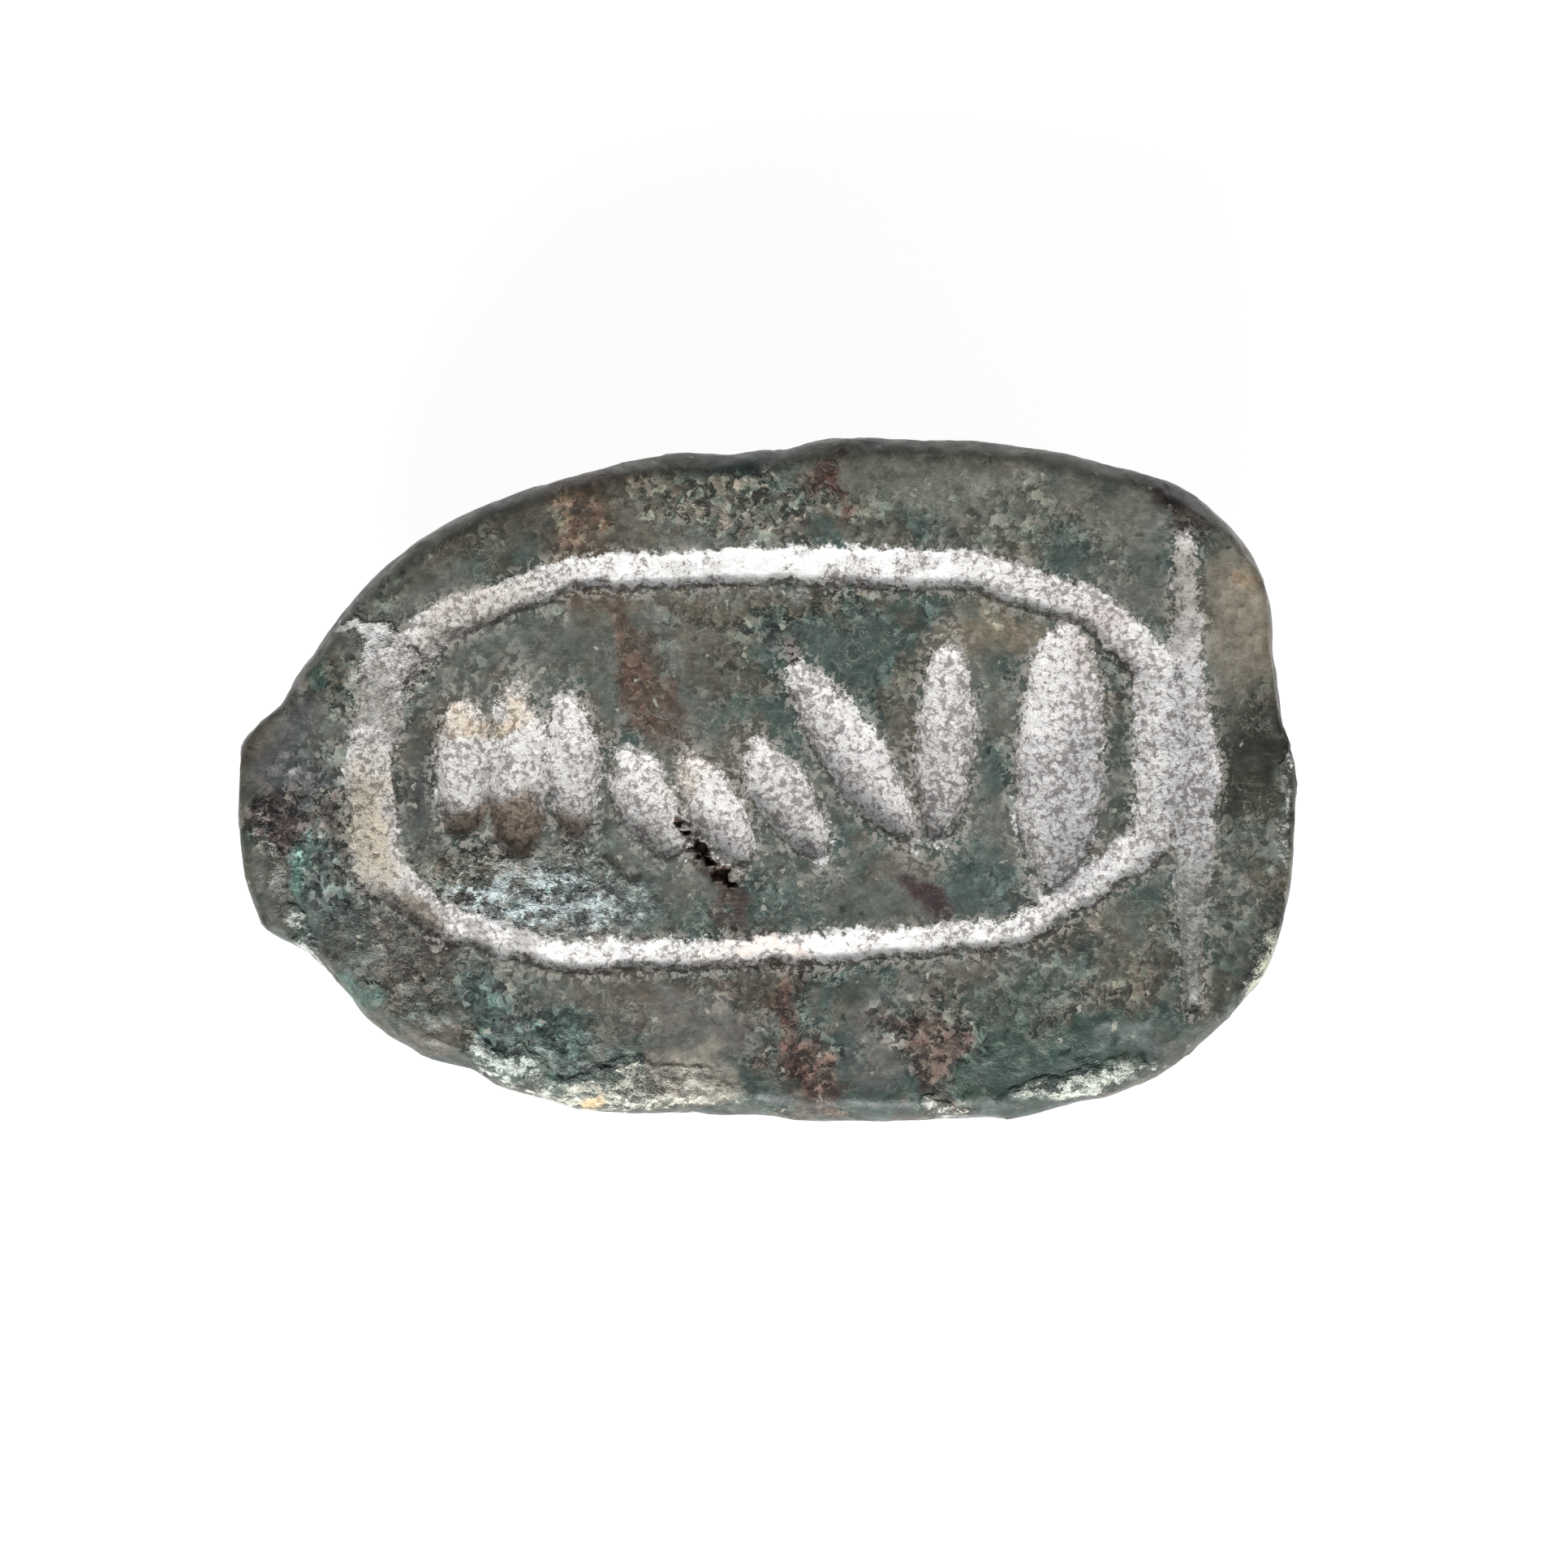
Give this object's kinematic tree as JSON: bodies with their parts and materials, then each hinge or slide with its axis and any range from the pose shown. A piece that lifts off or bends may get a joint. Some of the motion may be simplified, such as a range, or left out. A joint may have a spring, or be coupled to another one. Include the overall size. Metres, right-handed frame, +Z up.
{
  "type": "scarab amulet",
  "caption": "Small carved stone scarab lying on its back, with a flat oval base cut with a ring, a tie bar and rows of shallow strokes, and bored through lengthways.",
  "frame": {"origin": "on the surface it lies on, under the middle of its outline", "axes": "+X to the beetle's tail, -X to its head, +Y across, +Z up out of the flat cut base"},
  "size_m": [0.018, 0.0116, 0.0076],
  "materials": {
    "stone": "waxy worn polish, frosted white in the cuts"
  },
  "bodies": {
    "root": {"scarab": "stone"}
  },
  "joints": []
}
